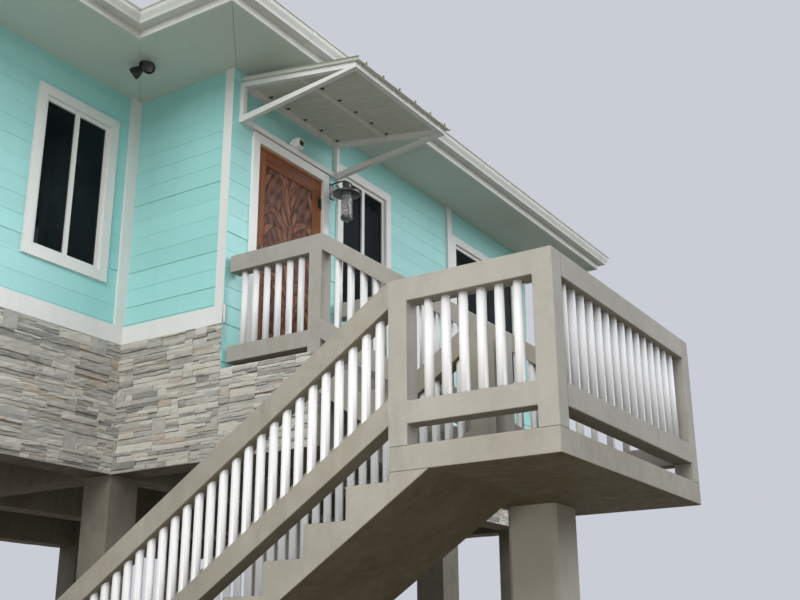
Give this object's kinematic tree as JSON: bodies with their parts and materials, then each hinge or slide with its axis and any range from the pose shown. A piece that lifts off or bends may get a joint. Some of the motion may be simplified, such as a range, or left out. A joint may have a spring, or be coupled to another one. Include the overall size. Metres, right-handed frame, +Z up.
{
  "type": "stilt house",
  "caption": "Raised timber-clad house on concrete columns with a hip roof, a hinged entry door and a concrete dog-leg stair with balustrades.",
  "frame": {"origin": "centre of the plan's outline at ground level", "axes": "+X along the door wall away from the step in the plan, +Y from the stair into the house, +Z up"},
  "size_m": [10.51, 9.75, 8.1101],
  "materials": {
    "concrete": "painted concrete, weathered",
    "dark_concrete": "rough shaded concrete",
    "rail_concrete": "smooth painted concrete with stains",
    "baluster_white": "white painted concrete",
    "ledger_stone": "split-face stone",
    "siding": "aqua paint on lapped boards",
    "white_trim": "white satin paint",
    "stained_wood": "varnished",
    "glass": "dark tinted glass",
    "dark_metal": "grey paint",
    "light_housing": "matt",
    "soffit_board": "flat white paint",
    "roof_sheet": "painted corrugated sheet"
  },
  "bodies": {
    "house": {"floor_slab": "concrete", "floor_beams": "dark_concrete", "columns": "dark_concrete", "stone_band": "ledger_stone", "front_wall_corner": "siding", "front_wall_over_door": "siding", "front_wall_long": "siding", "step_wall": "siding", "wing_front_wall": "siding", "wing_side_wall": "siding", "back_wall": "siding", "far_side_wall": "siding", "wall_trim": "white_trim", "window_frames": "white_trim", "window_glass": "glass", "door_casing": "white_trim", "door_jamb": "stained_wood", "door_hinges": "dark_metal", "soffit": "soffit_board", "fascia": "white_trim", "gutter": "white_trim", "main_roof": "roof_sheet", "wing_roof": "roof_sheet", "canopy_frame": "white_trim", "canopy_sheet": "roof_sheet", "porch_lantern": "dark_metal", "wall_lights": "light_housing", "upper_landing": "concrete", "upper_flight": "concrete", "middle_landing": "concrete", "lower_flight": "concrete", "landing_column": "concrete", "upper_landing_left_rail": "rail_concrete", "upper_landing_right_rail": "rail_concrete", "upper_flight_left_rail": "rail_concrete", "upper_flight_right_rail": "rail_concrete", "middle_landing_left_rail": "rail_concrete", "middle_landing_front_rail": "rail_concrete", "middle_landing_right_rail": "rail_concrete", "lower_flight_outer_rail": "rail_concrete", "lower_flight_inner_rail": "rail_concrete", "landing_balusters": "baluster_white", "flight_balusters": "baluster_white"},
    "door": {"door_leaf": "stained_wood", "door_hardware": "dark_metal"}
  },
  "joints": [
    {"name": "entry_door", "type": "hinge", "parent": "house", "child": "door", "pos_m": [0.1675, -1.562, 4.85], "axis": [0, 0, 1], "range_deg": [0, 65]}
  ]
}
